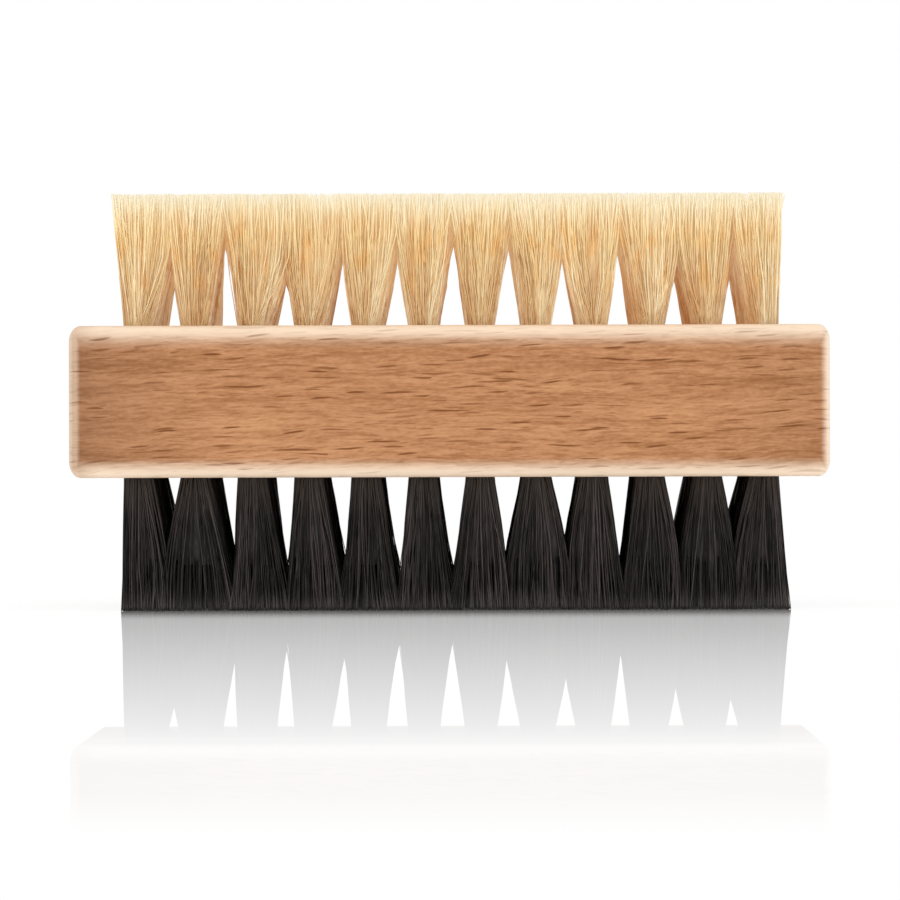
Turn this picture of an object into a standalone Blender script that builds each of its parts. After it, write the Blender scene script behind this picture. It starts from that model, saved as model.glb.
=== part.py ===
"""A two-sided shoe brush, in metres, standing on its dark tufts with +Z up and +X along its length.

One beech block is drilled with the same grid of blind holes in its top and bottom faces. Each hole
holds a tuft of bristle, folded in half round a flat wire anchor whose ends bite into the wood beside
the hole. Pale bristle stands on top and dark bristle hangs below. The origin is on the floor, under
the middle of the block.

The four tufts in line from front to back are one solid. A thin slice joins them inside the wood, in
the slot that also holds the wire of their anchors.
"""

import math

import bmesh
import bpy
from mathutils import Matrix, Vector

MM = 0.001

# The beech block
BLOCK_LENGTH = 110 * MM
BLOCK_WIDTH = 38 * MM
BLOCK_HEIGHT = 22 * MM
EDGE_RADIUS = 2.6 * MM
EDGE_STEPS = 4

# The grid of holes, alike in both faces. The margins run from the sides of the block to the middles
# of the outer holes.
COLUMNS = 12
ROWS = 4
END_MARGIN = 9.35 * MM
SIDE_MARGIN = 7 * MM
HOLE_RADIUS = 2.2 * MM
HOLE_DEPTH = 7.5 * MM

# A hole and the mouth of a tuft have the same number of sides, two for each strand
MOUTH_SIDES = 8

# The gap kept between a piece and what holds it
CLEARANCE = 0.3 * MM

# The flat wire that anchors a line of tufts
WIRE_THICKNESS = 0.4 * MM
WIRE_HEIGHT = 1.8 * MM
WIRE_BITE = 0.6 * MM

# The root of a tuft, folded under the wire, and the slice that joins a line of roots above the wire
FOLD_THICKNESS = 0.6 * MM
SLICE_HEIGHT = 0.6 * MM
SLICE_RISE = 0.6 * MM

# How far the bristle stands out of the wood
LIGHT_LENGTH = 19.1 * MM
DARK_LENGTH = 19.3 * MM

# A tuft is four strands. They start as the four quarters of its mouth and end as a pinwheel of four
# squares, so that its outer strands pass beside those of the next tuft. These are shares of the
# spacing of the holes: where the first square lies, along and across the block, and its side.
STRANDS = 4
TIP_PLACE_SHARES = (0.39, 0.195)
TIP_SIDE_SHARE = 0.40
TIP_TURN = math.radians(29)

# The share of the bristle's length at which the gap between two columns closes, from left to right
LIGHT_CLOSING_SHARES = (0.64, 0.74, 0.62, 0.68, 0.68, 0.76, 0.72, 0.68, 0.72, 0.64, 0.68)
DARK_CLOSING_SHARES = (0.62, 0.68, 0.74, 0.72, 0.78, 0.79, 0.71, 0.64, 0.74, 0.62, 0.62)

# How far the tips of the first and the last column stand out past their holes
LIGHT_FLARES = (1.7 * MM, 0.3 * MM)
DARK_FLARES = (0.4 * MM, 1.7 * MM)

# How far a cutter runs past the face that it cuts
OVERRUN = 1 * MM

BEECH_COLOUR = (0.52, 0.25, 0.12)
BEECH_ROUGHNESS = 0.50
LIGHT_BRISTLE_COLOUR = (0.76, 0.50, 0.22)
LIGHT_BRISTLE_ROUGHNESS = 0.55
DARK_BRISTLE_COLOUR = (0.012, 0.011, 0.010)
DARK_BRISTLE_ROUGHNESS = 0.35
WIRE_COLOUR = (0.55, 0.54, 0.52)
WIRE_ROUGHNESS = 0.30

COLUMN_PITCH = (BLOCK_LENGTH - 2 * END_MARGIN) / (COLUMNS - 1)
ROW_PITCH = (BLOCK_WIDTH - 2 * SIDE_MARGIN) / (ROWS - 1)
ROW_SPAN = (ROWS - 1) * ROW_PITCH
QUARTER = math.pi / 2

ROOT_RADIUS = HOLE_RADIUS - CLEARANCE
ROOT_DEPTH = HOLE_DEPTH - CLEARANCE
MOUTH_REACH = ROOT_RADIUS * math.cos(math.pi / MOUTH_SIDES)

# Depths below the face of the wood, from the foot of a hole upwards
WINDOW_FOOT = ROOT_DEPTH - FOLD_THICKNESS
WIRE_FOOT = WINDOW_FOOT - CLEARANCE
WIRE_TOP = WIRE_FOOT - WIRE_HEIGHT
WINDOW_TOP = WIRE_TOP - CLEARANCE
SLICE_FOOT = WINDOW_TOP - SLICE_RISE
SLICE_TOP = SLICE_FOOT - SLICE_HEIGHT

SLOT_WIDTH = WIRE_THICKNESS + 2 * CLEARANCE
WIRE_LENGTH = ROW_SPAN + 2 * (HOLE_RADIUS + WIRE_BITE)


def clear_scene():
    for old in list(bpy.data.objects):
        bpy.data.objects.remove(old, do_unlink=True)


def add_material(name, colour, roughness, metallic):
    """The material of that name, made once. Its colour is in linear light."""
    material = bpy.data.materials.get(name)
    if material is None:
        material = bpy.data.materials.new(name)
        material.use_nodes = True
        shader = material.node_tree.nodes["Principled BSDF"]
        shader.inputs["Base Color"].default_value = (*colour, 1.0)
        shader.inputs["Roughness"].default_value = roughness
        shader.inputs["Metallic"].default_value = metallic
    return material


def beech():
    return add_material("beech", BEECH_COLOUR, BEECH_ROUGHNESS, 0.0)


def light_bristle():
    return add_material("light_bristle", LIGHT_BRISTLE_COLOUR, LIGHT_BRISTLE_ROUGHNESS, 0.0)


def dark_bristle():
    return add_material("dark_bristle", DARK_BRISTLE_COLOUR, DARK_BRISTLE_ROUGHNESS, 0.0)


def anchor_wire():
    return add_material("anchor_wire", WIRE_COLOUR, WIRE_ROUGHNESS, 1.0)


def add_object(name, bm, parent):
    mesh = bpy.data.meshes.new(name)
    bm.to_mesh(mesh)
    bm.free()
    obj = bpy.data.objects.new(name, mesh)
    bpy.context.scene.collection.objects.link(obj)
    obj.parent = parent
    return obj


def add_guide(name, bm, parent):
    """A solid that cuts or joins the pieces and isn't one of them."""
    guide = add_object(name, bm, parent)
    guide.hide_render = True
    guide.display_type = "WIRE"
    return guide


def add_face_frame(name, height, turned):
    """The frame of one face of the block. Its +Z points out of the wood, and its +X along the block."""
    frame = bpy.data.objects.new(name, None)
    bpy.context.scene.collection.objects.link(frame)
    frame.location.z = height
    frame.rotation_euler.x = math.pi if turned else 0
    return frame


def add_boolean(obj, guide, operation):
    modifier = obj.modifiers.new(guide.name, "BOOLEAN")
    modifier.operation = operation
    modifier.object = guide


def add_box(bm, centre, size):
    corners = bmesh.ops.create_cube(bm, size=1)["verts"]
    bmesh.ops.scale(bm, vec=size, verts=corners)
    bmesh.ops.translate(bm, vec=centre, verts=corners)


def add_layer(bm, x, top, foot, size_x, size_y):
    """A box between two depths in the wood, in the middle of the block's width."""
    add_box(bm, (x, 0, -(top + foot) / 2), (size_x, size_y, foot - top))


def polygon(radius, sides, height):
    """Points of a regular polygon whose sides face +X, +Y, -X and -Y, from +X anticlockwise."""
    turns = [(i + 1 / 2) * 2 * math.pi / sides for i in range(sides)]
    return [Vector((radius * math.cos(turn), radius * math.sin(turn), height)) for turn in turns]


def places(count, pitch):
    """Even places along a line, with zero in the middle."""
    return [(i - (count - 1) / 2) * pitch for i in range(count)]


def hole_cutter(frame):
    """Every drill hole of one face."""
    mouth = polygon(HOLE_RADIUS, MOUTH_SIDES, OVERRUN)
    foot = polygon(HOLE_RADIUS, MOUTH_SIDES, -HOLE_DEPTH)
    bm = bmesh.new()
    for x in places(COLUMNS, COLUMN_PITCH):
        for y in places(ROWS, ROW_PITCH):
            place = Vector((x, y, 0))
            upper = [bm.verts.new(point + place) for point in mouth]
            lower = [bm.verts.new(point + place) for point in foot]
            bm.faces.new(upper)
            bm.faces.new(reversed(lower))
            for i in range(MOUTH_SIDES):
                j = (i + 1) % MOUTH_SIDES
                bm.faces.new((lower[i], lower[j], upper[j], upper[i]))
    return add_guide(f"{frame.name}_holes", bm, frame)


def slot_cutter(frame):
    """The slots inside the wood, one under each column, for the anchor wires and the joining slices."""
    bm = bmesh.new()
    for x in places(COLUMNS, COLUMN_PITCH):
        add_layer(bm, x, SLICE_TOP - CLEARANCE, WINDOW_FOOT, SLOT_WIDTH, WIRE_LENGTH + 2 * CLEARANCE)
    return add_guide(f"{frame.name}_slots", bm, frame)


def build_block(frames):
    """The block: a box with rounded edges, drilled and slotted from both faces."""
    bm = bmesh.new()
    add_box(bm, (0, 0, 0), (BLOCK_LENGTH, BLOCK_WIDTH, BLOCK_HEIGHT))
    block = add_object("beech_block", bm, None)
    block.location.z = DARK_LENGTH + BLOCK_HEIGHT / 2
    block.data.materials.append(beech())
    rounding = block.modifiers.new("rounding", "BEVEL")
    rounding.width = min(EDGE_RADIUS, BLOCK_HEIGHT / 2)
    rounding.segments = EDGE_STEPS
    for frame in frames:
        add_boolean(block, hole_cutter(frame), "DIFFERENCE")
        add_boolean(block, slot_cutter(frame), "DIFFERENCE")
    block.data.shade_smooth()
    block.data.set_sharp_from_angle(angle=math.radians(30))


def tip_corners(strand):
    """One strand's square tip, anticlockwise from its inner corner, in shares of the hole spacing."""
    turn = Matrix.Rotation(strand * QUARTER, 2)
    reach = TIP_SIDE_SHARE / math.sqrt(2)
    corners = []
    for i in range(4):
        angle = TIP_TURN + (i - 3 / 2) * QUARTER
        offset = Vector((reach * math.cos(angle), reach * math.sin(angle)))
        corners.append(turn @ (Vector(TIP_PLACE_SHARES) + offset))
    return corners


def add_strand(bm, root, tip):
    """A four-sided strand from its root corners to its flat tip. Both run anticlockwise."""
    bm.faces.new(tip)
    for i in range(4):
        j = (i + 1) % 4
        bm.faces.new((root[i], root[j], tip[j]))
        bm.faces.new((root[i], tip[j], tip[i]))


def add_tuft(bm, y, length, left_scale, right_scale):
    """One tuft. Its root narrows from an eight-sided mouth to a square foot, and its strands grow from
    the mouth. The scales turn shares into lengths along the block, on either side of the tuft."""
    place = Vector((0, y, 0))
    mouth = [bm.verts.new(point + place) for point in polygon(ROOT_RADIUS, MOUTH_SIDES, 0)]
    foot = [bm.verts.new(point + place) for point in polygon(MOUTH_REACH, STRANDS, -ROOT_DEPTH)]
    centre = bm.verts.new(place)
    bm.faces.new(reversed(foot))
    for strand in range(STRANDS):
        before, middle, after = mouth[2 * strand - 1], mouth[2 * strand], mouth[2 * strand + 1]
        bm.faces.new((foot[strand - 1], foot[strand], middle, before))
        bm.faces.new((foot[strand], after, middle))
        tip = []
        for corner in tip_corners(strand):
            x = corner.x * (right_scale if corner.x > 0 else left_scale)
            tip.append(bm.verts.new((x, y + corner.y * ROW_PITCH, length)))
        add_strand(bm, (centre, before, middle, after), tip)


def tip_scales(closing_shares, flares):
    """The left and right scale of each column, which close the gaps and flare the ends as told."""
    usual = max(corner.x for corner in tip_corners(0))
    half_gap = COLUMN_PITCH / 2 - MOUTH_REACH
    reaches = [MOUTH_REACH + half_gap / share for share in closing_shares]
    first, last = flares
    scales = [reach / usual for reach in (HOLE_RADIUS + first, *reaches, HOLE_RADIUS + last)]
    return list(zip(scales, scales[1:]))


def joining_slice(name, frame, x):
    bm = bmesh.new()
    add_layer(bm, x, SLICE_TOP, SLICE_FOOT, WIRE_THICKNESS, ROW_SPAN)
    return add_guide(f"{name}_slice", bm, frame)


def wire_window(name, frame, x):
    """The way that the anchor wire takes through the folded roots of one column."""
    bm = bmesh.new()
    add_layer(bm, x, WINDOW_TOP, WINDOW_FOOT, SLOT_WIDTH, ROW_SPAN + 2 * (ROOT_RADIUS + OVERRUN))
    return add_guide(f"{name}_window", bm, frame)


def build_tufts(side, frame, length, scales, material):
    """The columns of tufts of one face, each a solid of its own."""
    for number, (x, (left, right)) in enumerate(zip(places(COLUMNS, COLUMN_PITCH), scales), start=1):
        name = f"{side}_tufts_{number:02d}"
        bm = bmesh.new()
        for y in places(ROWS, ROW_PITCH):
            add_tuft(bm, y, length, left, right)
        tufts = add_object(name, bm, frame)
        tufts.location.x = x
        tufts.data.materials.append(material)
        add_boolean(tufts, joining_slice(name, frame, x), "UNION")
        add_boolean(tufts, wire_window(name, frame, x), "DIFFERENCE")


def build_anchors(side, frame):
    """The flat wires that hold the folded roots, one for each column."""
    for number, x in enumerate(places(COLUMNS, COLUMN_PITCH), start=1):
        bm = bmesh.new()
        add_layer(bm, 0, WIRE_TOP, WIRE_FOOT, WIRE_THICKNESS, WIRE_LENGTH)
        anchor = add_object(f"{side}_anchor_{number:02d}", bm, frame)
        anchor.location.x = x
        anchor.data.materials.append(anchor_wire())


def main():
    clear_scene()
    top = add_face_frame("top_face", DARK_LENGTH + BLOCK_HEIGHT, turned=False)
    bottom = add_face_frame("bottom_face", DARK_LENGTH, turned=True)
    build_block((top, bottom))
    light_scales = tip_scales(LIGHT_CLOSING_SHARES, LIGHT_FLARES)
    dark_scales = tip_scales(DARK_CLOSING_SHARES, DARK_FLARES)
    build_tufts("light", top, LIGHT_LENGTH, light_scales, light_bristle())
    build_tufts("dark", bottom, DARK_LENGTH, dark_scales, dark_bristle())
    build_anchors("light", top)
    build_anchors("dark", bottom)


main()
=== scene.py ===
import math

import bmesh
import bpy
import numpy as np
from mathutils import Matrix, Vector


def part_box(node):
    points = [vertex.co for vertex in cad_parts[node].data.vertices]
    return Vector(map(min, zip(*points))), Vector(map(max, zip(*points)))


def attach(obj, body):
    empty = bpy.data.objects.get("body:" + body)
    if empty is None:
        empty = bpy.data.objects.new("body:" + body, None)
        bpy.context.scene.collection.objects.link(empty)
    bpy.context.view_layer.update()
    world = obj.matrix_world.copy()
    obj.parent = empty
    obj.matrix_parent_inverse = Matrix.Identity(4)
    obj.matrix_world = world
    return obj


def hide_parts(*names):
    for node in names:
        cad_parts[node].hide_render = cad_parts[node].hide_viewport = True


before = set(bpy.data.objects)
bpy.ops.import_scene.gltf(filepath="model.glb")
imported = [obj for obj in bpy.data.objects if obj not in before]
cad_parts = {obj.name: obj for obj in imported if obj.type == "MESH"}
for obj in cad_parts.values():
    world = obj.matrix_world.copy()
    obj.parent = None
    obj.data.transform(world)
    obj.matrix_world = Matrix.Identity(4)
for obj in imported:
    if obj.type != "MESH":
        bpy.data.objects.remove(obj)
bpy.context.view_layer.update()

# The block is one piece of beech, sawn so that its broad front shows the ends of the wood's rays as
# short brown flecks. Its edges are rounded over and sanded paler than its faces, with painted
# highlight on them as well, and 48 blind holes are drilled in its top and 48 in its underside, each
# with its rim lightly broken.
mm = 0.001
block_low, block_high = (np.array(corner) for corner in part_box("beech_block"))
block_middle = (block_low + block_high) / 2
block_half = (block_high - block_low) / 2
edge_radius = np.array([1.7, 2.4, 2.4]) * mm
edge_steps = 8
sharpest_rounding = math.radians(30)
weld_distance = mm / 1000

columns = 12
rows = 4
pitch = np.array([8.3, 8.0]) * mm
grid_shift = 0.22 * mm
column_places = (np.arange(columns) - (columns - 1) / 2) * pitch[0] + grid_shift
row_places = (np.arange(rows) - (rows - 1) / 2) * pitch[1]
grid_half = np.array([columns, rows]) * pitch / 2
hole_radius = 2.2 * mm
hole_depth = 7.5 * mm
rim_break = 0.15 * mm
steps_a_pitch = 6

# The block's sides as they lie on its bake map, which is a square sheet: where the middle of each
# lies, and whether it stands on end. The walls of all the holes share one strip.
sheet_size = 136 * mm
side_sheets = {
    (2, 1): (np.array([56, 20]) * mm, False),
    (2, -1): (np.array([56, 60]) * mm, False),
    (1, -1): (np.array([56, 92]) * mm, False),
    (1, 1): (np.array([56, 116]) * mm, False),
    (0, 1): (np.array([124, 20]) * mm, True),
    (0, -1): (np.array([124, 60]) * mm, True),
}
hole_sheet = np.array([116, 90]) * mm


def new_piece(name, points, quads, triangles=None, sheet=None):
    """A smooth mesh object from arrays of points, quads and triangles. The sheet holds each
    corner's place on the piece's own bake map, in the order of the corners."""
    triangles = np.zeros((0, 3), dtype=int) if triangles is None else triangles
    mesh = bpy.data.meshes.new(name)
    mesh.vertices.add(len(points))
    mesh.vertices.foreach_set("co", points.ravel())
    mesh.loops.add(quads.size + triangles.size)
    mesh.loops.foreach_set("vertex_index", np.concatenate([quads.ravel(), triangles.ravel()]))
    mesh.polygons.add(len(quads) + len(triangles))
    starts = [4 * np.arange(len(quads)), quads.size + 3 * np.arange(len(triangles))]
    mesh.polygons.foreach_set("loop_start", np.concatenate(starts))
    mesh.polygons.foreach_set("use_smooth", np.ones(len(quads) + len(triangles), dtype=bool))
    mesh.update(calc_edges=True)
    if sheet is not None:
        bake_map = mesh.uv_layers.new(name="OFBake")
        bake_map.data.foreach_set("uv", sheet.ravel())
    piece = bpy.data.objects.new(name, mesh)
    bpy.context.scene.collection.objects.link(piece)
    return piece


def edge_lines(half, radius, inner):
    """Places of the grid lines across a side: the tangents of even turns over both roundings, and
    the inner lines between them."""
    turns = np.tan(np.linspace(0, np.pi / 4, edge_steps + 1))
    rounding = half - radius + radius * turns
    return np.concatenate([-rounding[::-1], inner, rounding])


def side_of_block(axis, sign):
    """One side of the rounded box as points, quads and corners on the sheet. In a space where every
    rounding is one unit wide, a point of the sharp box is drawn in to one unit from the nearest
    point of the box inside the roundings. The quads where holes are drilled are left out."""
    along, across = [other for other in range(3) if other != axis]
    inner = {
        0: np.linspace(-grid_half[0], grid_half[0], columns * steps_a_pitch + 1) + grid_shift,
        1: np.linspace(-grid_half[1], grid_half[1], rows * steps_a_pitch + 1),
        2: np.zeros(0),
    }
    u, v = np.meshgrid(
        edge_lines(block_half[along], edge_radius[along], inner[along]),
        edge_lines(block_half[across], edge_radius[across], inner[across]),
        indexing="ij",
    )
    sharp = np.zeros((*u.shape, 3))
    sharp[..., along] = u
    sharp[..., across] = v
    sharp[..., axis] = sign * block_half[axis]
    core = np.clip(sharp, edge_radius - block_half, block_half - edge_radius)
    outward = (sharp - core) / edge_radius
    outward /= np.linalg.norm(outward, axis=-1, keepdims=True)
    points = core + edge_radius * outward

    number = np.arange(u.size).reshape(u.shape)
    quads = np.stack([number[:-1, :-1], number[1:, :-1], number[1:, 1:], number[:-1, 1:]], axis=-1)
    if axis == 2:
        middle_u = abs((u[:-1, :-1] + u[1:, 1:]) / 2 - grid_shift)
        middle_v = abs(v[:-1, :-1] + v[1:, 1:]) / 2
        quads = quads[(middle_u > grid_half[0]) | (middle_v > grid_half[1])]
    quads = quads.reshape(-1, 4)
    if sign * (-1) ** axis < 0:
        quads = quads[:, ::-1]

    middle, on_end = side_sheets[axis, sign]
    flat = np.stack([v, u] if on_end else [u, v], axis=-1).reshape(-1, 2) + middle
    return points.reshape(-1, 3) + block_middle, quads, flat[quads] / sheet_size


def round_a_square(share):
    """Points round the square from -1 to 1, one side for each unit of the share: each of a point's
    two places climbs to 1, waits there for one side, falls to -1 and waits again, the second place
    one side after the first."""
    peak = np.array([1 / 2, 3 / 2])
    return np.clip(2 - 2 * abs((share[:, None] - peak + 2) % 4 - 2), -1, 1)


def holes_of_block(sign):
    """The drilled holes of one face as points, quads and corners on the sheet. Each is a turned
    surface: from the square of its grid cell in to its broken rim, down its wall to its foot."""
    share = np.arange(4 * steps_a_pitch + 1) / steps_a_pitch
    angle = (share - 1 / 2) * np.pi / 2
    ring = np.stack([np.cos(angle), np.sin(angle)], axis=-1)
    square = round_a_square(share)
    radius = np.array([hole_radius + rim_break, hole_radius, hole_radius, hole_radius, 0])
    depth = np.array([0, 0, rim_break, rim_break, hole_depth, hole_depth])
    flat = np.concatenate([(square * pitch / 2)[None], radius[:, None, None] * ring])

    middles = np.meshgrid(column_places, row_places, indexing="ij")
    place = np.stack(middles, axis=-1).reshape(-1, 1, 1, 2)
    points = np.zeros((len(place), *flat.shape[:2], 3))
    points[..., :2] = place + flat
    points[..., 2] = (sign * (block_half[2] - depth))[:, None]

    number = np.arange(points[..., 0].size).reshape(points.shape[:3])
    outer, inner = number[:, [0, 1, 3, 4]], number[:, [1, 2, 4, 5]]
    quads = np.stack([inner[..., :-1], outer[..., :-1], outer[..., 1:], inner[..., 1:]], axis=-1)
    quads = quads.reshape(-1, 4) if sign > 0 else quads.reshape(-1, 4)[:, ::-1]

    sheet = points[..., :2] + side_sheets[2, sign][0]
    run = np.array([0, hole_depth - rim_break, hole_depth - rim_break + hole_radius])
    sheet[:, 3:, :, 0] = hole_sheet[0] + angle * hole_radius
    sheet[:, 3:, :, 1] = hole_sheet[1] + run[:, None]
    return points.reshape(-1, 3) + block_middle, quads, sheet.reshape(-1, 2)[quads] / sheet_size


patches = [side_of_block(axis, sign) for axis in range(3) for sign in (-1, 1)]
patches += [holes_of_block(-1), holes_of_block(1)]
first_points = np.cumsum([0] + [len(points) for points, quads, sheet in patches[:-1]])
block = new_piece(
    "block",
    np.concatenate([points for points, quads, sheet in patches]),
    np.concatenate([quads + first for (points, quads, sheet), first in zip(patches, first_points)]),
    sheet=np.concatenate([sheet.reshape(-1, 2) for points, quads, sheet in patches]),
)

# The sides and the holes meet point on point, so merging their doubles closes the skin. Only the
# rims and feet of the holes stay sharp.
joined = bmesh.new()
joined.from_mesh(block.data)
bmesh.ops.remove_doubles(joined, verts=joined.verts, dist=weld_distance)
joined.to_mesh(block.data)
joined.free()
block.data.set_sharp_from_angle(angle=sharpest_rounding)
even_faces = block.modifiers.new("even_faces", "WEIGHTED_NORMAL")
even_faces.keep_sharp = True


class Reading:
    """What one socket of a material's nodes reads off the surface. Sums on it become Math nodes."""

    def __init__(self, tree, socket=None):
        self.tree = tree
        self.socket = socket

    def node(self, kind, settings, sockets, out=0):
        """Any other node: its type, its settings, which are put in first, and the values or links
        of its sockets."""
        node = self.tree.nodes.new("ShaderNode" + kind)
        for name, setting in settings.items():
            setattr(node, name, setting)
        for key, value in sockets.items():
            if isinstance(value, Reading):
                self.tree.links.new(value.socket, node.inputs[key])
            else:
                node.inputs[key].default_value = value
        return Reading(self.tree, node.outputs[out] if node.outputs else None)

    def sum(self, operation, first, second):
        """Arithmetic on two readings or numbers."""
        return self.node("Math", {"operation": operation}, {0: first, 1: second})

    def __add__(self, other):
        return self.sum("ADD", self, other)

    def __radd__(self, other):
        return self.sum("ADD", other, self)

    def __sub__(self, other):
        return self.sum("SUBTRACT", self, other)

    def __rsub__(self, other):
        return self.sum("SUBTRACT", other, self)

    def __mul__(self, other):
        return self.sum("MULTIPLY", self, other)

    def __rmul__(self, other):
        return self.sum("MULTIPLY", other, self)

    def vector(self, operation, other, out=0):
        """Vector arithmetic on the whole reading."""
        return self.node("VectorMath", {"operation": operation}, {0: self, 1: other}, out)

    def part(self, axis):
        """One of the reading's three parts."""
        return self.node("SeparateXYZ", {}, {0: self}, out=axis)

    def noise(self, size, detail=2):
        """Soft noise from 0 to 1 whose lumps have the given size along x, y and z."""
        stretched = self.vector("MULTIPLY", tuple(1 / length for length in size))
        return self.node("TexNoise", {}, {"Vector": stretched, "Scale": 1, "Detail": detail})

    def rise(self, low, high, start=0, end=1):
        """A soft step from start to end while the reading goes from low to high."""
        return self.node(
            "MapRange",
            {"interpolation_type": "SMOOTHSTEP"},
            {"Value": self, "From Min": low, "From Max": high, "To Min": start, "To Max": end},
        )

    def blend(self, first, second):
        """The first colour where the reading is 0 and the second where it is 1."""
        return self.node("Mix", {"data_type": "RGBA"}, {0: self, 6: first, 7: second}, out=2)


def new_finish(name):
    """An empty material, and the reading that its nodes start from."""
    finish = bpy.data.materials.new(name)
    finish.use_nodes = True
    finish.node_tree.nodes.clear()
    return finish, Reading(finish.node_tree)


def rays(place, cell, ray, share_seen):
    """Flat lens-shaped rays, one round the middle of each wandering cell: 1 less the distance from
    it, measured in ray half sizes. Each layer of cells is shifted along the grain, so that the rays
    don't stand in upright lines. Their lengths differ, and a share of them is seen, each more or
    less plainly."""
    shift = -0.62
    stretched = place.vector("MULTIPLY", tuple(1 / length for length in cell))
    along_grain = place.node("CombineXYZ", {}, {0: stretched.part(2) * shift})
    stretched = stretched.vector("ADD", along_grain)
    cells = stretched.node("TexVoronoi", {}, {"Vector": stretched, "Scale": 1}, out="Position")
    luck = Reading(place.tree, cells.socket.node.outputs["Color"])
    away = stretched.vector("SUBTRACT", cells).vector("MULTIPLY", tuple(np.divide(cell, ray)))
    shortening = {0: 0.75 + luck.part(1) * 1.3, 1: 1, 2: 0.8 + luck.part(2) * 0.6}
    shorter = away.vector("MULTIPLY", place.node("CombineXYZ", {}, shortening))
    lens = 1 - shorter.vector("LENGTH", (0, 0, 0), out="Value")
    return lens.rise(0, 0.5) * luck.part(0).rise(1 - share_seen, 1.05)


# The grain runs along the block in fibres, streaks and bands that wander up and down, and the rays
# and pores follow them.
deep_beech = (0.31, 0.120, 0.036, 1)
fair_beech = (0.59, 0.287, 0.135, 1)
sanded_highlit_beech = (0.90, 0.715, 0.54, 1)
short_ray_brown = (0.24, 0.078, 0.014, 1)
long_ray_brown = (0.165, 0.045, 0.003, 1)
end_shade_tint = (0.70, 0.69, 0.71)

beech, bare = new_finish("beech")
place = bare.node("TexCoord", {}, {}, out="Object")
wander = (place.noise((38 * mm, 30 * mm, 9 * mm)) - 0.5) * (3.0 * mm)
wander = wander + (place.noise((8 * mm, 20 * mm, 3 * mm)) - 0.5) * (0.9 * mm)
waved = place.vector("ADD", place.node("CombineXYZ", {}, {2: wander}))
long_rays = rays(waved, (7.0 * mm, 16 * mm, 0.85 * mm), (3.0 * mm, 16 * mm, 0.22 * mm), 0.75)
short_rays = rays(waved, (2.6 * mm, 14 * mm, 0.52 * mm), (1.2 * mm, 14 * mm, 0.16 * mm), 0.75)
fibre = waved.noise((3.4 * mm, 3 * mm, 0.34 * mm), detail=3)
pores = waved.noise((0.8 * mm, 3 * mm, 0.30 * mm), detail=1)
streak = waved.noise((24 * mm, 8 * mm, 1.3 * mm))
band = waved.noise((60 * mm, 30 * mm, 5 * mm), detail=1)
tone = 0.5 + (fibre - 0.5) + (pores - 0.5) * 0.45 + (streak - 0.5) * 0.65 + (band - 0.5) * 0.5
wood = tone.rise(0, 1).blend(deep_beech, fair_beech)

# Painted shade: the wood is darker towards its ends, most at the left, where less light falls. For
# each stretch: where along the block that begins, where it is full, and how strong it is there.
painted_end_shade = 0
for begins, full, strength in ((-28, -56, 0.8), (-50, -53.3, 0.3), (34, 50, 0.34)):
    painted_end_shade = painted_end_shade + place.part(0).rise(begins * mm, full * mm, 0, strength)
wood = painted_end_shade.blend(wood, wood.vector("MULTIPLY", end_shade_tint))

# Each edge gets a pale band: the wood is sanded paler there, and painted highlight is added where
# the roundings catch the light from above and from the floor. A place's depth from the edge is the
# middle one of its depths under the three pairs of sides. Those under the ends count for more and
# those under the front and back for less, so that the band is narrow on the ends and wide on the
# top.
depth_weights = np.array([1.8, 0.6, 1])
sanded_highlit_depths = (3.0 * mm, 0.3 * mm)
left_edge = (-54 * mm, -50 * mm)
left_corner = (-53.05 * mm, -53.85 * mm)
corner_depths = (3.6 * mm, 1.4 * mm)
top_strip = (37.6 * mm, 38.6 * mm)
inset = place.vector("SUBTRACT", tuple(block_middle)).vector("ABSOLUTE", (0, 0, 0))
inset = inset.vector("MULTIPLY", tuple(-depth_weights))
inset = inset.vector("ADD", tuple(block_half * depth_weights))
depths = [inset.part(axis) for axis in range(3)]
least = inset.sum("MINIMUM", inset.sum("MINIMUM", depths[0], depths[1]), depths[2])
most = inset.sum("MAXIMUM", inset.sum("MAXIMUM", depths[0], depths[1]), depths[2])
from_edge = depths[0] + depths[1] + depths[2] - least - most
mottle = (fibre - 0.5) * (0.7 * mm) + (streak - 0.5) * (0.6 * mm)
sanded_and_highlit = (from_edge - mottle).rise(*sanded_highlit_depths) * place.part(0).rise(*left_edge, 0.66, 1)

# The left end's corners get more of the band, sanded and painted highlight, and the top strip of
# the sides is painted a little paler, as painted light from above.
left_corners = place.part(0).rise(*left_corner, 0, 0.42) * depths[1].rise(*corner_depths)
sanded_and_highlit = sanded_and_highlit.sum("MAXIMUM", sanded_and_highlit, left_corners)
painted_top_light = place.part(2).rise(*top_strip, 0, 0.11)
sanded_and_highlit = sanded_and_highlit + painted_top_light - sanded_and_highlit * painted_top_light
# The pale band, part sanded wood and part painted highlight, goes into the colour, and the rays
# show less in it.
wood = sanded_and_highlit.blend(wood, sanded_highlit_beech)
wood = (short_rays * (0.46 - 0.38 * sanded_and_highlit)).blend(wood, short_ray_brown)
wood = (long_rays * (0.93 - 0.72 * sanded_and_highlit)).blend(wood, long_ray_brown)

roughness = 0.55 + (fibre - 0.5) * 0.22 - long_rays * 0.06 + sanded_and_highlit * 0.05
relief = fibre * 0.5 - long_rays * 0.6 - short_rays * 0.3
normal = bare.node("Bump", {}, {"Strength": 0.35, "Distance": 0.04 * mm, "Height": relief})
surface = bare.node(
    "BsdfPrincipled",
    {},
    {"Base Color": wood, "Roughness": roughness, "Normal": normal, "Specular IOR Level": 0.25},
)
surface.node("OutputMaterial", {}, {"Surface": surface})
block.data.materials.append(beech)
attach(block, "root")
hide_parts("beech_block")

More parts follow.
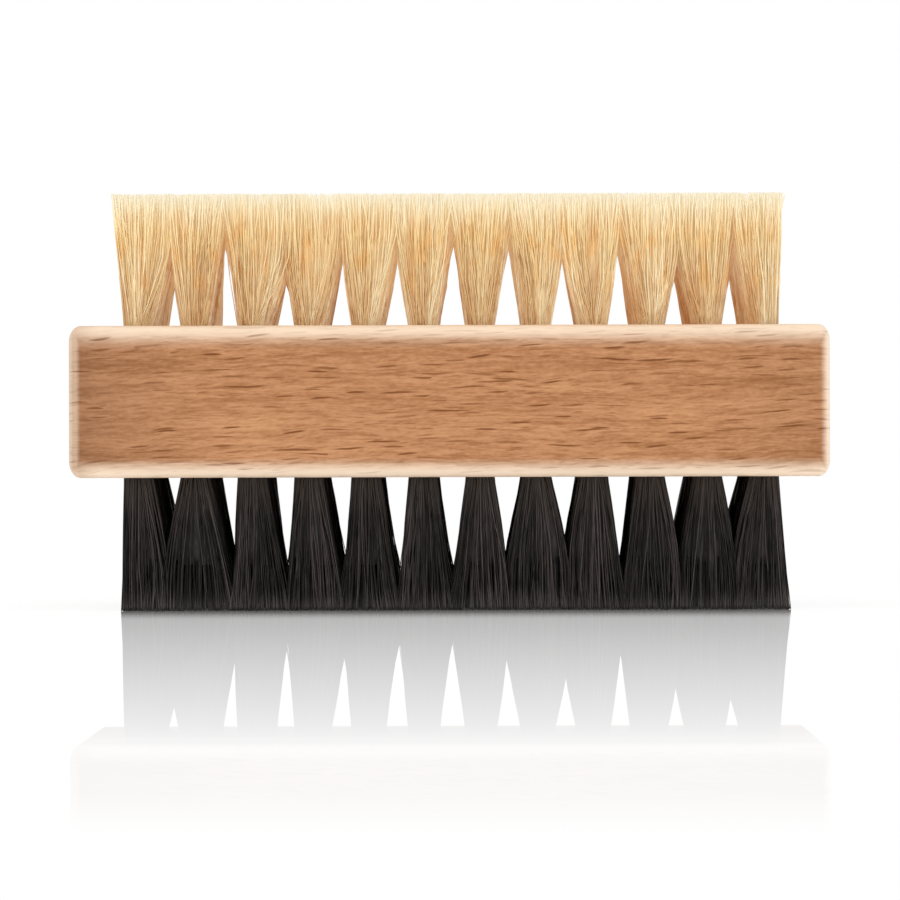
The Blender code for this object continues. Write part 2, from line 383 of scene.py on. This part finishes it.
# The wires are flat steel strips that fold each tuft over at its middle and bite into the wood
# between the holes, one run for each column of four tufts. The tufts hide them, so the CAD's wires
# stay and get a drawn, slightly dull steel finish.
steel, bare = new_finish("anchor_wire")
place = bare.node("TexCoord", {}, {}, out="Object")
drawn = place.noise((0.1 * mm, 3 * mm, 0.1 * mm))
steel_colour = drawn.blend((0.50, 0.49, 0.47, 1), (0.62, 0.61, 0.59, 1))
surface = bare.node(
    "BsdfPrincipled",
    {},
    {"Base Color": steel_colour, "Metallic": 1, "Roughness": 0.25 + drawn * 0.2},
)
surface.node("OutputMaterial", {}, {"Surface": surface})
for side in ("light", "dark"):
    for column in range(1, columns + 1):
        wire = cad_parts[f"{side}_anchor_{column:02d}"]
        wire.data.materials.clear()
        wire.data.materials.append(steel)

# The pale bristles are hog hair in 48 tufts, each a bundle packed tight into its hole, so that it
# spreads evenly once it leaves the wood until it meets the next tuft. They are trimmed level while
# on the block, which leaves soft, split ends, paler partly in their own colour and partly by
# painted highlight from the light above.
root_radius = hole_radius - 0.1 * mm
strand_radius = 0.095 * mm

# The heights at which a strand and a heart have their rings, as shares of their lengths. A strand
# starts inside its hole.
strand_heights = np.array([-0.13, 0, 0.17, 0.34, 0.52, 0.70, 0.86, 1])
heart_heights = np.array([0, 0.15, 0.3, 0.45, 0.6, 0.75, 0.9, 1])

# A strand that isn't placed evenly starts in the outer part of its tuft, from this share out.
outer_from = 0.8

# On the bake map the strands stand in this many lines, with the hearts in one line above them.
strand_lines = 10


def strand_paths(start, end, row, column, rise, shape):
    """Where strands run across the brush, at each height from 0 at the wood to 1 at the tips. A
    strand starts at u, v of the hole's disc and heads for u, v of the tuft's share of the face. Its
    way there goes with s, the height over the height at which the gap between the tufts closes: it
    is s divided by the p-th root of 1 plus the p-th power of s, where p is the sharpness, so that
    it is steady at first and then stands still. The gaps of the rear rows lie further and further
    along by the slants."""
    u, v = start
    root = root_radius * np.stack([u * np.sqrt(1 - v**2 / 2), v * np.sqrt(1 - u**2 / 2)], axis=-1)
    u, v = end
    meets = np.array([0, *shape["meeting_shares"], 0])[:, None]
    meets = meets + np.array([0, *shape["slants"], 0])[:, None] * row / (rows - 1)
    left = pitch[0] * (shape["half_width"] - meets[column])
    right = pitch[0] * (shape["half_width"] + meets[column + 1])
    left = hole_radius + shape["flares"][0] if column == 0 else left
    right = hole_radius + shape["flares"][1] if column == columns - 1 else right
    near = np.where(row == 0, hole_radius + shape["row_flare"], pitch[1] / 2)
    far = np.where(row == rows - 1, hole_radius + shape["row_flare"], pitch[1] / 2)
    tip = np.stack([u * np.where(u < 0, left, right), v * np.where(v < 0, near, far)], axis=-1)

    closes = [shape["flare_close"], *shape["closing_shares"], shape["flare_close"]]
    close_x = closes[column] + (closes[column + 1] - closes[column]) * (u + 1) / 2
    outside = ((row == 0) & (v < 0)) | ((row == rows - 1) & (v > 0))
    close_y = np.where(outside, shape["flare_close"], shape["row_close"])
    close = np.stack([close_x, close_y], axis=-1)[:, None]
    power = shape["sharpness"]
    reach = rise[:, None] / close
    spread = reach / (1 + reach**power) ** (1 / power)
    spread = spread * close * (1 + close**-power) ** (1 / power)
    path = root[:, None] + (tip - root)[:, None] * spread
    path[..., 0] += column_places[column]
    path[..., 1] += row_places[row][:, None]
    return path


def closed_tubes(points, low, size, sign):
    """Quads round tubes given as points (tube, ring, side), a fan of triangles over each end, and
    the corners of both on the bake map. There each tube stands upright in its own cell, given by
    its low corner and size. The faces are turned round for a negative sign, as the tubes then hang
    down."""
    ring_count, side_count = points.shape[1:3]
    number = np.arange(points[..., 0].size).reshape(points.shape[:3])
    beside = np.roll(number, -1, axis=2)
    quads = np.stack([number[:, :-1], beside[:, :-1], beside[:, 1:], number[:, 1:]], axis=-1)
    hubs = np.broadcast_to(number[..., :1], number[..., 1:-1].shape)
    fans = np.stack([hubs, number[..., 1:-1], number[..., 2:]], axis=-1)
    fans = np.concatenate([fans[:, 0, :, ::-1], fans[:, -1]], axis=1)

    across = np.arange(side_count + 1) / (side_count + 1)
    lift = np.linspace(0.04, 0.94, ring_count)
    grid = np.stack(np.meshgrid(lift, across, indexing="ij")[::-1], axis=-1)
    round_it = np.stack([grid[:-1, :-1], grid[:-1, 1:], grid[1:, 1:], grid[1:, :-1]], axis=2)
    rims = grid[[0, -1], 1:-1]
    hubs = np.broadcast_to(np.array([[[0, 0]], [[0, 0.98]]]), rims[:, 1:].shape)
    ends = np.stack([hubs, rims[:, :-1], rims[:, 1:]], axis=2)
    ends = np.concatenate([ends[0, :, ::-1], ends[1]])
    quads, fans = quads.reshape(-1, 4), fans.reshape(-1, 3)
    quad_sheet = low[:, None, None] + round_it.reshape(-1, 4, 2) * size
    fan_sheet = low[:, None, None] + ends * size
    if sign < 0:
        quads, fans = quads[:, ::-1], fans[:, ::-1]
        quad_sheet, fan_sheet = quad_sheet[:, :, ::-1], fan_sheet[:, :, ::-1]
    return quads, fans, quad_sheet.reshape(-1, 2), fan_sheet.reshape(-1, 2)


def strand_bends(random, start, outward, row, lock, rise, shape):
    """How far each strand bends aside at each height, as (strand, height, 2). Locks and single
    strands lean with the square of the height and bow with a half wave. Strands also sway with a
    whole wave and have kinks."""
    count = len(row)
    stray = random.random(count) < shape["stray_share"]

    # Near the sides of its tuft a strand is held straight, by the fourth power of how far out it
    # starts. Where it faces another tuft it is held a quarter less, and it comes loose between 0.5
    # and 0.85 of the height, where the tufts meet. A stray is free but for the brush's own sides.
    near_side = abs(start.T[:, None]) ** 4
    loosening = np.clip((rise[:, None] - 0.5) / 0.35, 0, 1)
    held = near_side * (1 - ~outward.T[:, None] * (0.25 + 0.75 * loosening))
    freedom = np.where((stray & ~outward).T[:, None], shape["stray"], 1 - held)

    height_squared = rise[:, None] ** 2
    half_wave = np.sin(np.pi * rise)[:, None]
    whole_wave = np.sin(2 * np.pi * rise)[:, None]
    lock_lean = random.normal(0, shape["lock_lean"], (rows, shape["locks"], 2))[row, lock][:, None]
    lock_bow = random.normal(0, shape["lock_bow"], (rows, shape["locks"], 2))[row, lock][:, None]
    lock_bend = lock_lean * height_squared + lock_bow * half_wave
    lock_bend = (1 - outward.T[:, None] * near_side) * lock_bend
    lean = random.normal(0, shape["lean"], (count, 1, 2)) * height_squared
    bow = random.normal(0, shape["bow"], (count, 1, 2)) * half_wave
    sway = random.normal(0, shape["bow"] / 2, (count, 1, 2)) * whole_wave
    kinks = random.normal(0, shape["kink"], (count, len(rise), 2))
    kinks = kinks * np.minimum(4 * rise, 1)[:, None]
    return freedom * (lean + bow + sway + kinks) + lock_bend


def packed_hearts(column, length, rise, shape):
    """The hearts of a column's tufts as points (heart, ring, side): the surface of the strand paths
    that start on a square a little way in, with the last ring drawn in towards its middle."""
    square = round_a_square(np.arange(4 * steps_a_pitch) / steps_a_pitch)
    place = np.tile(square * shape["heart_share"], (rows, 1)).T
    row = np.repeat(np.arange(rows), len(square))
    hearts = strand_paths(place, place, row, column, rise, shape)
    hearts = hearts.reshape(rows, len(square), len(rise), 2).transpose(0, 2, 1, 3)
    drawn_in = hearts[:, -1] - hearts[:, -1].mean(axis=1, keepdims=True)
    hearts[:, -1] -= shape["heart_crown"] * drawn_in
    height = np.broadcast_to(rise[:, None, None] * length, (*hearts.shape[:3], 1))
    return np.concatenate([hearts, height], axis=-1)


def strand_tones(random, column, row, lock, shape):
    """Each strand's tone from dark to pale: a mean of its own and of what it shares with its lock,
    tuft and column. The tufts behind the front row differ more."""
    lock_tone = random.permuted(np.tile(np.arange(shape["locks"]), (rows, 1)), axis=1)[row, lock]
    tuft_tone = random.uniform(-0.25, 0.15, rows) * (np.arange(rows) > 0)
    shared = (lock_tone + 0.5) / shape["locks"] + tuft_tone[row] + shape["shades"][column]
    return shared + (random.random(len(row)) - shared) * shape["own_tone"]


def tuft_column(name, column, sign, length, shape, seed):
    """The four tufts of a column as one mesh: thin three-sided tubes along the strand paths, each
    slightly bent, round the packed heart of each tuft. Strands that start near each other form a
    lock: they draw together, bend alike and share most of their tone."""
    random = np.random.default_rng(seed)
    count = rows * shape["strands"]
    row = np.repeat(np.arange(rows), shape["strands"])
    start = random.uniform(-1, 1, (2, count))
    outer = random.random(count) < shape["outer_share"]
    far_out = random.uniform(outer_from, 1, count)
    start *= np.where(outer, far_out / abs(start).max(axis=0), 1)
    lock_middles = random.uniform(-1, 1, (2, rows, shape["locks"]))
    apart = np.linalg.norm(start[..., None] - lock_middles[:, row], axis=0)
    lock = apart.argmin(axis=-1)
    end = start + shape["clumping"] * (lock_middles[:, row, lock] - start)
    end += random.normal(0, shape["crossing"], (2, count))
    end *= abs(start).max(axis=0) / abs(end).max(axis=0)

    # Outward are the strands that start towards one of the brush's own sides.
    place = np.array([np.full(count, column), row])
    last = np.array([[columns], [rows]]) - 1
    outward = ((place == 0) & (start < 0)) | ((place == last) & (start > 0))
    rise = np.clip(strand_heights, 0, 1)
    bends = strand_bends(random, start, outward, row, lock, rise, shape)
    path = strand_paths(start, end, row, column, rise, shape) + bends

    # A strand is cut a little short, less so on the brush's own sides, which look evenly trimmed.
    trimmed = abs(random.normal(0, shape["trim"], (count, 1)))
    trimmed = trimmed * np.where(outward.any(axis=0), 0.3, 1)[:, None]
    height = strand_heights * (length - trimmed)
    centre = np.concatenate([path, height[..., None]], axis=-1)
    turn = random.uniform(0, 2 * np.pi, (count, 1)) + np.arange(3) * 2 * np.pi / 3
    thickness = strand_radius * random.uniform(0.8, 1.15, (count, 1)) * (1 - shape["taper"] * rise)
    ring = np.stack([np.cos(turn), np.sin(turn), 0 * turn], axis=-1)
    strands = centre[:, :, None] + thickness[..., None, None] * ring[:, None]
    heart_rise = shape["heart_height"] * heart_heights
    hearts = packed_hearts(column, length, heart_rise, shape)

    in_line = -(-count // strand_lines)
    low = np.stack([np.arange(count) % in_line / in_line, np.arange(count) // in_line], axis=-1)
    low = low / np.array([1, strand_lines + 1])
    parts = [closed_tubes(strands, low, np.array([1 / in_line, 1 / (strand_lines + 1)]), sign)]
    low = np.array([[tuft / rows, strand_lines / (strand_lines + 1)] for tuft in range(rows)])
    parts += [closed_tubes(hearts, low, np.array([1 / rows, 1 / (strand_lines + 1)]), sign)]
    first_heart = strands[..., 0].size
    points = np.concatenate([strands.reshape(-1, 3), hearts.reshape(-1, 3)])
    points[:, 2] = block_middle[2] + sign * (block_half[2] + points[:, 2])
    piece = new_piece(
        name,
        points,
        np.concatenate([parts[0][0], parts[1][0] + first_heart]),
        np.concatenate([parts[0][1], parts[1][1] + first_heart]),
        np.concatenate([parts[0][2], parts[1][2], parts[0][3], parts[1][3]]),
    )

    # Marks for the material: a strand's tone; its shelter, from 0 on the brush's own sides to 1
    # half a tuft in; and how far along it a place lies.
    tone = strand_tones(random, column, row, lock, shape)[:, None, None]
    depth = ((last + 1) / 2 - abs(place - last / 2 + start / 2)).min(axis=0)
    shelter = np.clip(2 * depth, 0, 1)[:, None, None]
    middling = np.full(hearts.shape[:3], 0.5)
    marks = {
        "shelter": np.append(np.broadcast_to(shelter, strands.shape[:3]), middling),
        "tone": np.append(np.broadcast_to(tone, strands.shape[:3]), middling),
        "along": np.append(
            np.broadcast_to(rise[:, None], strands.shape[:3]),
            np.broadcast_to(heart_rise[:, None], hearts.shape[:3]),
        ),
    }
    for mark, values in marks.items():
        layer = piece.data.attributes.new(mark, "FLOAT", "POINT")
        layer.data.foreach_set("value", values.astype(np.float32))
    return piece


light_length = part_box("light_tufts_06")[1][2] - block_high[2]
light_shape = {
    # The strands of a tuft and the share of them in its outer part; the heart's width and height as
    # shares of the tuft's, and how far its top is drawn in
    "strands": 540,
    "outer_share": 0.35,
    "heart_share": 0.75,
    "heart_height": 0.66,
    "heart_crown": 0.35,
    # For each gap from the left, in shares of the height and of the pitch: how high it closes, how
    # far to the right it does so, and how much further in the last row
    "closing_shares": (0.57, 1.55, 0.48, 0.66, 0.80, 1.3, 0.95, 0.69, 0.87, 0.55, 0.79),
    "meeting_shares": (0.1, 0.035, 0.1, 0.1, 0.08, 0.04, 0.045, -0.055, -0.065, -0.045, -0.05),
    "slants": (-0.2, -0.27, -0.13, -0.095, -0.06, -0.02, 0.015, 0.05, 0.085, 0.12, 0.16),
    # Half a tuft's width at the tips in pitches, how high the gaps between the rows close, and how
    # sharply a tuft stops spreading there
    "half_width": 0.515,
    "row_close": 0.55,
    "sharpness": 6,
    # How far the tips stand out past the holes at the two ends and at the front and back, and the
    # height over which they do so
    "flares": (1.3 * mm, 0.25 * mm),
    "row_flare": 2.4 * mm,
    "flare_close": 1.2,
    # The locks of a tuft, how far their strands draw together at the tips and cross each other, the
    # part of a strand's tone that is its own, and how much paler each column is
    "locks": 16,
    "clumping": 0.22,
    "crossing": 0.28,
    "own_tone": 0.5,
    "shades": (0.12, -0.02, 0.02, -0.08, 0.05, 0.12, -0.1, 0.18, 0.09, 0.12, -0.32, 0.5),
    # How far locks and strands lean, bow and kink, the share of strays and how freely they bend
    "lock_lean": 0.25 * mm,
    "lean": 0.45 * mm,
    "lock_bow": 0.19 * mm,
    "bow": 0.28 * mm,
    "kink": 0.07 * mm,
    "stray_share": 0.006,
    "stray": 0.9,
    # How much shorter strands are cut than the longest, and how much thinner their tips are
    "trim": 0.18 * mm,
    "taper": 0.1,
}

root_tan = (0.83, 0.58, 0.29, 1)
straw = (0.95, 0.725, 0.36, 1)
# Painted light: a paler, greyer tan for strands in the shade of other tufts.
shade_lifted_tan = (0.79, 0.615, 0.42, 1)
gold = (0.92, 0.57, 0.20, 1)
pale_strand = (0.97, 0.83, 0.55, 1)
brown_strand = (0.56, 0.28, 0.10, 1)
russet = (0.66, 0.28, 0.045, 1)
# Cream of the ends, partly their own colour and partly painted highlight from above.
toplit_cream = (0.96, 0.87, 0.67, 1)


def mark(bare, name):
    """One of the marks that tuft_column leaves on a mesh, as a material reads it."""
    return bare.node("Attribute", {"attribute_name": name}, {}, out="Fac")


hog, bare = new_finish("light_bristle")
place = bare.node("TexCoord", {}, {}, out="Object")
tone = mark(bare, "tone")
along = mark(bare, "along")
shelter = mark(bare, "shelter")
patch = place.noise((3 * mm, 3 * mm, 9 * mm)) - 0.5
lock = place.noise((0.3 * mm, 0.3 * mm, 9 * mm))
fleck = place.noise((0.5 * mm, 0.5 * mm, 2.2 * mm))
tone = tone + (lock - 0.5) * 0.7 + (fleck - 0.5) * (0.7 + shelter * 1.1)
hair = (along + patch * 0.25).rise(0.15, 0.80).blend(root_tan, straw)
# Painted light: low down, strands in the shelter of other tufts are painted a paler, greyer tan
# against their shade.
hair = (shelter * along.rise(1, 0.55, 0, 0.85)).blend(hair, shade_lifted_tan)

# Golden patches lie at middle height.
golden = place.noise((2 * mm, 3 * mm, 4.5 * mm), detail=1).rise(0.50, 0.66, 0, 0.6)
golden = golden * along.rise(0.15, 0.40) * along.rise(0.98, 0.72)
hair = golden.blend(hair, gold)

# Pale and brown strands lie among the others, plainest near the roots.
plainness = along.rise(0.90, 0.30, 0.3, 1)
hair = (tone.rise(0.60, 1) * plainness).blend(hair, pale_strand)
hair = (tone.rise(0.40, 0) * 0.9 * plainness).blend(hair, brown_strand)

# The roots on the left of each tuft are reddish, most of all in the columns towards the right end.
across = (place.part(0) - (column_places[0] - pitch[0] / 2)) * (1 / pitch[0])
reddish = across.sum("FRACT", across, 0).rise(0.48, 0.24) * along.rise(0.62, 0.1)
reddish = reddish * place.part(0).rise(20 * mm, 26 * mm, 0.15, 0.6)
reddish = reddish * (0.35 + 0.65 * lock.rise(0.35, 0.6))
hair = reddish.blend(hair, russet)
# The ends turn cream, partly their own paler colour and partly painted highlight from the light
# above.
hair = (along + patch * 0.2).rise(0.64, 1.02).blend(hair, toplit_cream)

# Painted glow: a pale strand gives off light in its own colour, standing in for the light that
# passes through it to its neighbours. It glows more at the tips and most in the shelter of other
# strands, where it is shaded.
painted_glow = 0.2 + 0.3 * along.rise(0.5, 1) + 0.65 * shelter * along.rise(1, 0.55)
surface = bare.node(
    "BsdfPrincipled",
    {},
    {
        "Base Color": hair,
        "Roughness": 0.5 + lock * 0.15,
        "Emission Color": painted_glow.blend((0, 0, 0, 1), hair),
        "Emission Strength": 0.28,
    },
)
surface.node("OutputMaterial", {}, {"Surface": surface})

for column in range(columns):
    piece = tuft_column(
        f"light_bristle_{column + 1:02d}", column, 1, light_length, light_shape, 100 + column
    )
    piece.data.materials.append(hog)
    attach(piece, "root")
    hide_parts(f"light_tufts_{column + 1:02d}")

# The black bristles are stiffer, of dyed horsehair, in 48 more tufts under the block. The brush
# stands on their trimmed ends. They are glossier, and grey where the light runs along them; some
# strands are also painted grey, as painted sheen.
dark_length = block_low[2]
dark_shape = dict(
    light_shape,
    strands=300,
    outer_share=0.5,
    closing_shares=(0.61, 1.15, 1.33, 1.07, 2.6, 2.0, 0.71, 0.58, 1.23, 0.62, 0.56),
    meeting_shares=(0, 0.22, 0.12, 0.09, 0.05, -0.005, -0.055, 0.03, 0.005, -0.015, -0.05),
    slants=(0, -0.13, -0.13, 0, 0, 0, 0, 0, 0, 0, 0),
    flares=(-0.05 * mm, 1.2 * mm),
    crossing=0.16,
    own_tone=0.6,
    shades=(-0.12, -0.12, 0.02, 0, 0.05, -0.02, 0.05, 0.08, 0.06, 0.13, 0.1, 0.2),
    lock_lean=0.2 * mm,
    lean=0.3 * mm,
    lock_bow=0.1 * mm,
    bow=0.18 * mm,
    kink=0.04 * mm,
    trim=0.28 * mm,
    taper=0.25,
)

# Among these, the tip grey is painted light from the floor, the end black a painted contact shadow
# and the root brown painted light thrown back from the wood.
black = (0.008, 0.0071, 0.0064, 1)
painted_sheen_grey = (0.092, 0.075, 0.071, 1)
floor_lit_tip_grey = (0.113, 0.1, 0.096, 1)
painted_contact_shadow_black = (0.010, 0.009, 0.008, 1)
wood_lit_root_brown = (0.073, 0.059, 0.047, 1)

horse, bare = new_finish("dark_bristle")
place = bare.node("TexCoord", {}, {}, out="Object")
tone = mark(bare, "tone")
along = mark(bare, "along")
patch = place.noise((3 * mm, 3 * mm, 12 * mm)) - 0.5
fleck = place.noise((0.5 * mm, 0.5 * mm, 3 * mm))
tone = tone + (fleck - 0.5) * 0.7 - along.rise(0.25, 0.6, 0, 0.07)
# Painted sheen: strands of a paler tone are painted grey, partly their own tone and partly standing
# in for highlight streaks.
hair = tone.rise(0.2, 1).blend(black, painted_sheen_grey)

# The strands turn grey towards their tips, as painted light from the white floor, black again at
# the cut ends, as a painted contact shadow, and brown near the wood, as painted light thrown back
# from the wood.
hair = ((along + patch * 0.3).rise(0.82, 1.03) * 0.85).blend(hair, floor_lit_tip_grey)
hair = along.rise(0.965, 0.995, 0, 0.75).blend(hair, painted_contact_shadow_black)
hair = along.rise(0.35, 0, 0, 0.7).blend(hair, wood_lit_root_brown)
surface = bare.node(
    "BsdfPrincipled",
    {},
    {"Base Color": hair, "Roughness": 0.34 + tone * 0.16, "Specular IOR Level": 0.22},
)
surface.node("OutputMaterial", {}, {"Surface": surface})

for column in range(columns):
    piece = tuft_column(
        f"dark_bristle_{column + 1:02d}", column, -1, dark_length, dark_shape, 300 + column
    )
    piece.data.materials.append(horse)
    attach(piece, "root")
    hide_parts(f"dark_tufts_{column + 1:02d}")

# The studio: a white floor with a shallow polish that mirrors the brush less and less towards the
# camera, a white surround, one broad lamp above and two at the front corners.
floor_half = 3.0


def rays_seen(bare):
    """1 for the camera's own rays and for those that polish or glass sends on, 0 for all others."""
    light_path = bare.node("LightPath", {}, {}, out="Is Camera Ray")
    seen = light_path + Reading(bare.tree, light_path.socket.node.outputs["Is Glossy Ray"])
    seen = seen + Reading(bare.tree, light_path.socket.node.outputs["Is Transmission Ray"])
    return seen.node("Clamp", {}, {0: seen})


floor_points = np.array([[-1, -1, 0], [1, -1, 0], [1, 1, 0], [-1, 1, 0]]) * floor_half
floor = new_piece("floor", floor_points, np.array([[0, 1, 2, 3]]))
polished, bare = new_finish("white_floor")
place = bare.node("TexCoord", {}, {}, out="Object")
seen = rays_seen(bare)

# Near the brush the floor is matt and takes its shadow. It gives off some light, less of it for the
# rays that are seen, and further out it does nothing else. Beyond is how far a place lies outside
# the brush's footprint.
footprint_half = (52 * mm, 16.5 * mm, 0)
lit = bare.node("BsdfDiffuse", {}, {"Color": (0.9, 0.9, 0.9, 1)})
glow = bare.node("Emission", {}, {"Color": (1, 1, 1, 1), "Strength": 0.35 - seen * 0.165})
near_floor = bare.node("AddShader", {}, {0: lit, 1: glow})
far_floor = bare.node("Emission", {}, {"Color": (1, 1, 1, 1), "Strength": 1.25 - seen * 0.25})
past = place.vector("ABSOLUTE", (0, 0, 0)).vector("SUBTRACT", footprint_half)
beyond = past.vector("MAXIMUM", (0, 0, 0)).vector("LENGTH", (0, 0, 0), out="Value")
matt = bare.node("MixShader", {}, {0: beyond.rise(2 * mm, 22 * mm), 1: near_floor, 2: far_floor})

# The polish grows from the camera's side towards the brush, and is strongest round its footprint.
gloss = bare.node("BsdfGlossy", {}, {"Color": (1, 1, 1, 1), "Roughness": 0})
depth = place.part(1)
ahead = depth.node("MapRange", {}, {"Value": depth, "From Min": -0.24, "From Max": -0.043})
polish = 0.14 * depth.rise(-0.315, -0.28) + 0.55 * ahead.sum("POWER", ahead, 0.6)
polish = polish + beyond.rise(0, 28 * mm, 0.45, 0)
mirrored = polish * bare.node("Fresnel", {}, {"IOR": 1.5})
surface = bare.node("MixShader", {}, {0: mirrored, 1: matt, 2: gloss})
surface.node("OutputMaterial", {}, {"Surface": surface})
floor.data.materials.append(polished)

surround = bpy.data.worlds.new("surround")
surround.use_nodes = True
surround.node_tree.nodes.clear()
bare = Reading(surround.node_tree)
brightness = 0.9 + rays_seen(bare) * 0.1
sky = bare.node("Background", {}, {"Color": (1, 1, 1, 1), "Strength": brightness})
sky.node("OutputWorld", {}, {"Surface": sky})
bpy.context.scene.world = surround


def area_lamp(name, watts, size, place, target):
    """A soft rectangular lamp at a place, turned to face the target."""
    lamp = bpy.data.lights.new(name, "AREA")
    lamp.shape = "RECTANGLE"
    lamp.size, lamp.size_y = size
    lamp.energy = watts
    holder = bpy.data.objects.new(name, lamp)
    bpy.context.scene.collection.objects.link(holder)
    aim = Vector(target) - Vector(place)
    holder.rotation_euler = aim.to_track_quat("-Z", "Y").to_euler()
    holder.location = place


area_lamp("lamp_above", 0.6, (0.6, 0.4), (0, -0.20, 0.50), (0, 0, 0.03))
area_lamp("lamp_left", 0.08, (0.15, 0.5), (-0.45, -0.45, 0.25), (0, 0, 0.03))
area_lamp("lamp_right", 0.15, (0.15, 0.5), (0.45, -0.45, 0.25), (0, 0, 0.03))

# The camera looks level at the brush's front from low down, through a long lens.
lens = bpy.data.cameras.new("camera")
lens.lens = 139.5
lens.sensor_width = 36
lens.shift_x = -0.041
lens.clip_start = 0.01
camera = bpy.data.objects.new("camera", lens)
bpy.context.scene.collection.objects.link(camera)
camera.location = (0.0054, -0.521, 0.0232)
camera.rotation_euler = (math.radians(90), math.radians(0.16), 0)
bpy.context.scene.camera = camera
bpy.context.scene.view_settings.view_transform = "Standard"
